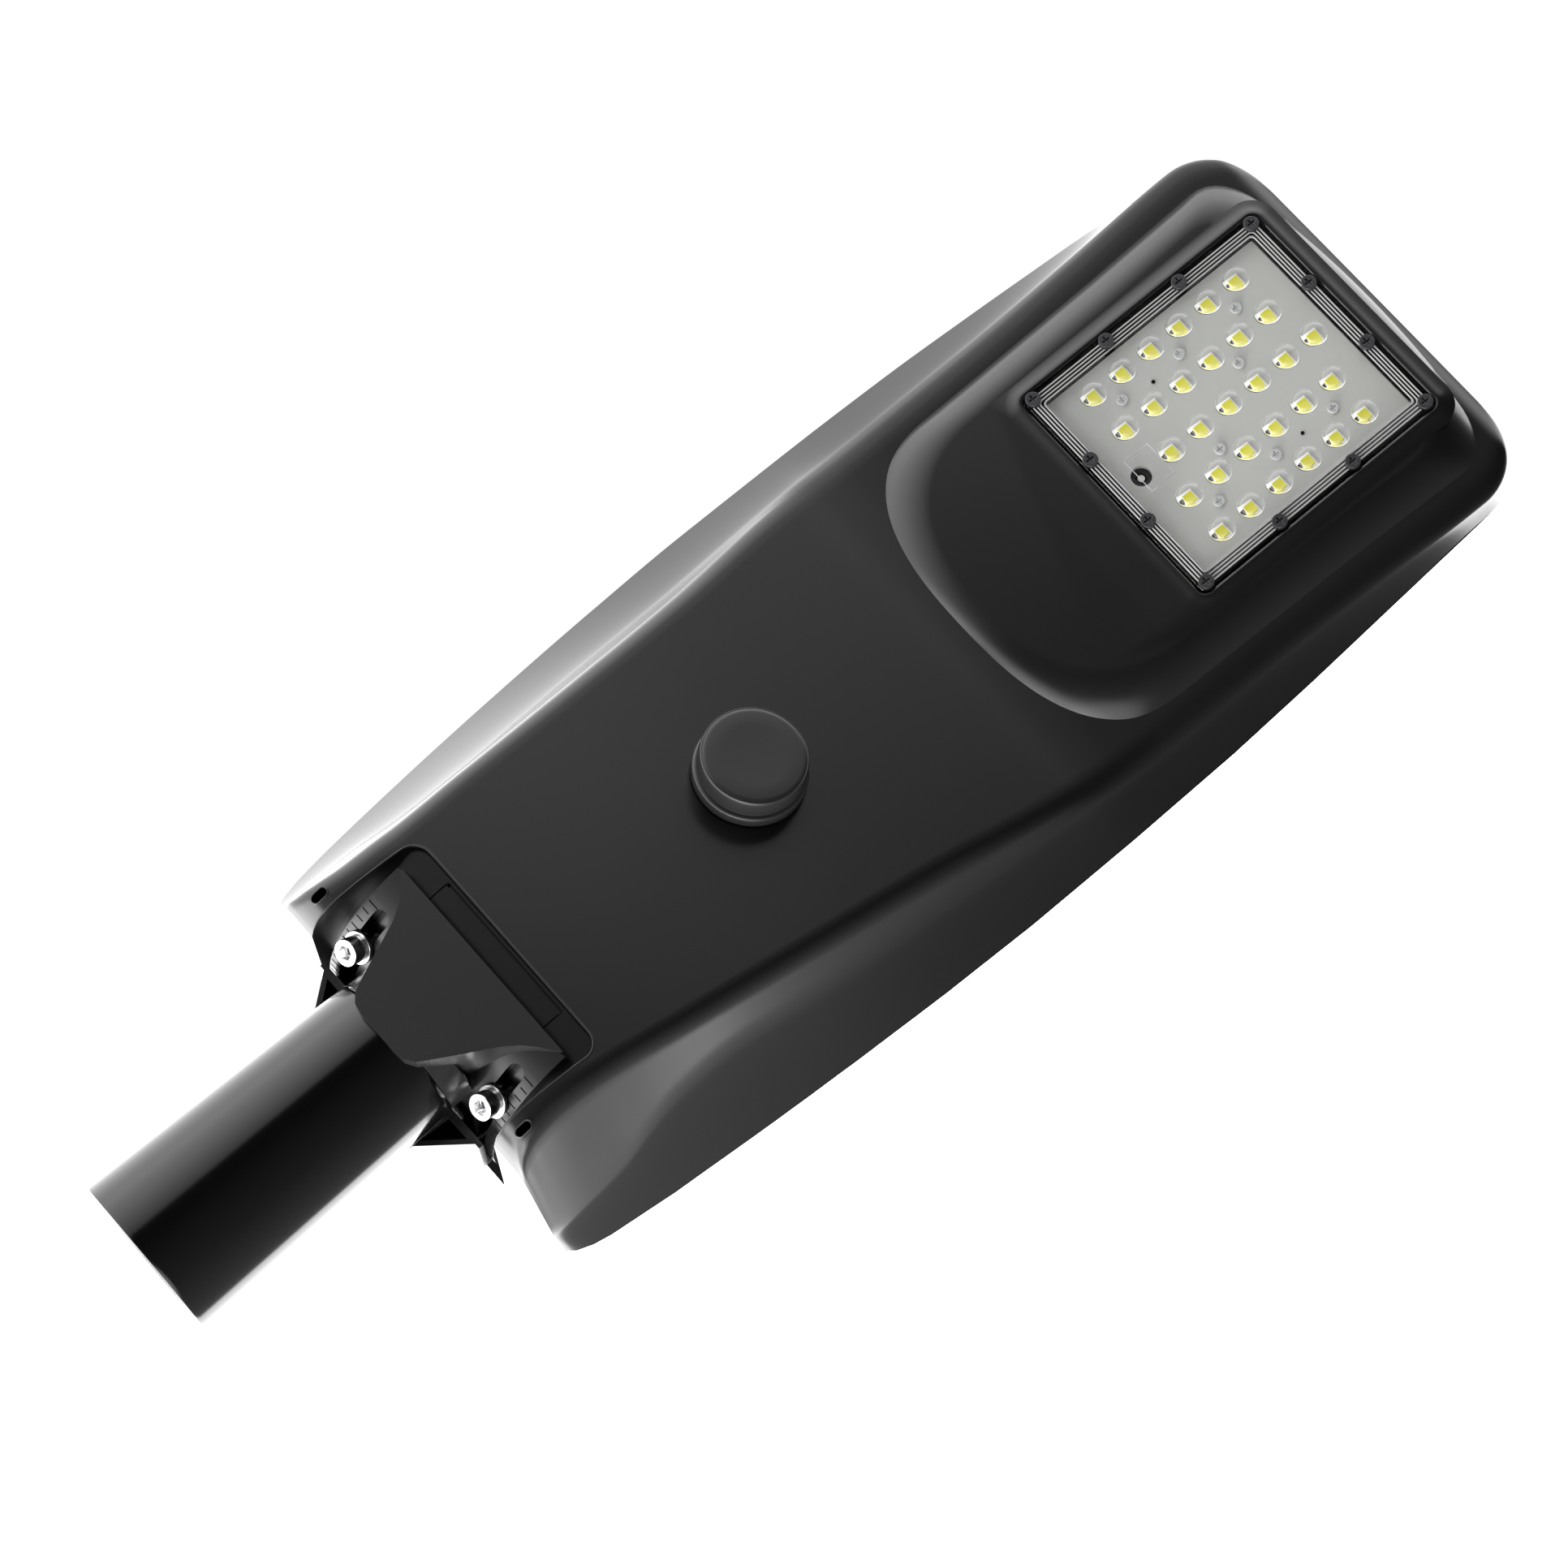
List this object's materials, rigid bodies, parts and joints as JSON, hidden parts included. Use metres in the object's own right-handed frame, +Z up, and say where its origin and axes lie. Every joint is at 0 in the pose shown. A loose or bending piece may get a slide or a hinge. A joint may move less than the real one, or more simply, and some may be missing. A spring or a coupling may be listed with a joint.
{
  "type": "solar street lamp",
  "caption": "All-in-one solar street lamp: a tapered cast head with a panel on top, a lens-covered light module below, a sensor, and a slotted tilt saddle on a slip-on arm tube.",
  "frame": {"origin": "centre of the arm tube's open end", "axes": "+X from the arm tube towards the nose of the head, +Z up towards the solar panel, +Y across the head"},
  "size_m": [0.5777, 0.1976, 0.0882],
  "materials": {
    "tube_gloss": "gloss black powder coat on an aluminium tube",
    "cast_black": "satin black powder coat on die-cast aluminium",
    "cast_charcoal": "semi-gloss charcoal powder coat on die-cast aluminium",
    "bright_steel": "bright zinc-plated steel",
    "dark_screw": "dark passivated stainless steel",
    "steel": "plain stainless steel",
    "anodised": "clear anodised aluminium",
    "solar_glass": "tempered low-iron glass over dark cells",
    "silicon": "dark blue-black monocrystalline silicon",
    "backsheet": "white polymer sheet",
    "rubber": "black silicone rubber",
    "clear_pc": "clear polycarbonate optic",
    "light_board": "pale grey solder mask on an aluminium core",
    "phosphor": "yellow phosphor over the emitter",
    "thermal": "grey silicone thermal pad",
    "sensor_black": "satin black moulded plastic",
    "green_board": "green solder mask",
    "component": "black moulded components",
    "terminal": "green terminal housing",
    "cell_wrap": "blue shrink sleeve",
    "holder": "black flame-retardant plastic",
    "nickel": "nickel strip",
    "tray": "folded aluminium sheet",
    "red_lead": "red silicone insulation",
    "white_lead": "white silicone insulation"
  },
  "bodies": {
    "arm": {"arm_tube": "tube_gloss", "saddle_adaptor": "cast_black", "tube_set_screws": "dark_screw"},
    "head": {"lock_bolts": "bright_steel", "lock_washers": "bright_steel", "lower_housing": "cast_charcoal", "frame_gasket": "rubber", "top_frame": "anodised", "frame_screws": "steel", "solar_glass": "solar_glass", "solar_cells": "silicon", "solar_backsheet": "backsheet", "junction_box": "sensor_black", "panel_lead": "red_lead", "light_board": "light_board", "light_emitters": "phosphor", "thermal_pad": "thermal", "lens_gasket": "rubber", "lens_plate": "clear_pc", "lens_screws": "dark_screw", "board_screws": "steel", "light_lead": "white_lead", "cable_grommet": "rubber", "sensor_base": "sensor_black", "sensor_gasket": "rubber", "sensor_cap": "sensor_black", "sensor_nut": "sensor_black", "sensor_board": "green_board", "sensor_lead": "white_lead", "battery_cells": "cell_wrap", "rear_cell_holder": "holder", "front_cell_holder": "holder", "cell_links": "nickel", "battery_tray": "tray", "tray_screws": "steel", "protection_board": "green_board", "battery_lead": "red_lead", "controller_board": "green_board", "controller_parts": "component", "terminal_blocks": "terminal", "controller_screws": "steel"}
  },
  "joints": [
    {"name": "tilt", "type": "hinge", "parent": "arm", "child": "head", "pos_m": [0.1638, 0, 0.0217], "axis": [0, 1, 0], "range_deg": [-10, 10]}
  ]
}
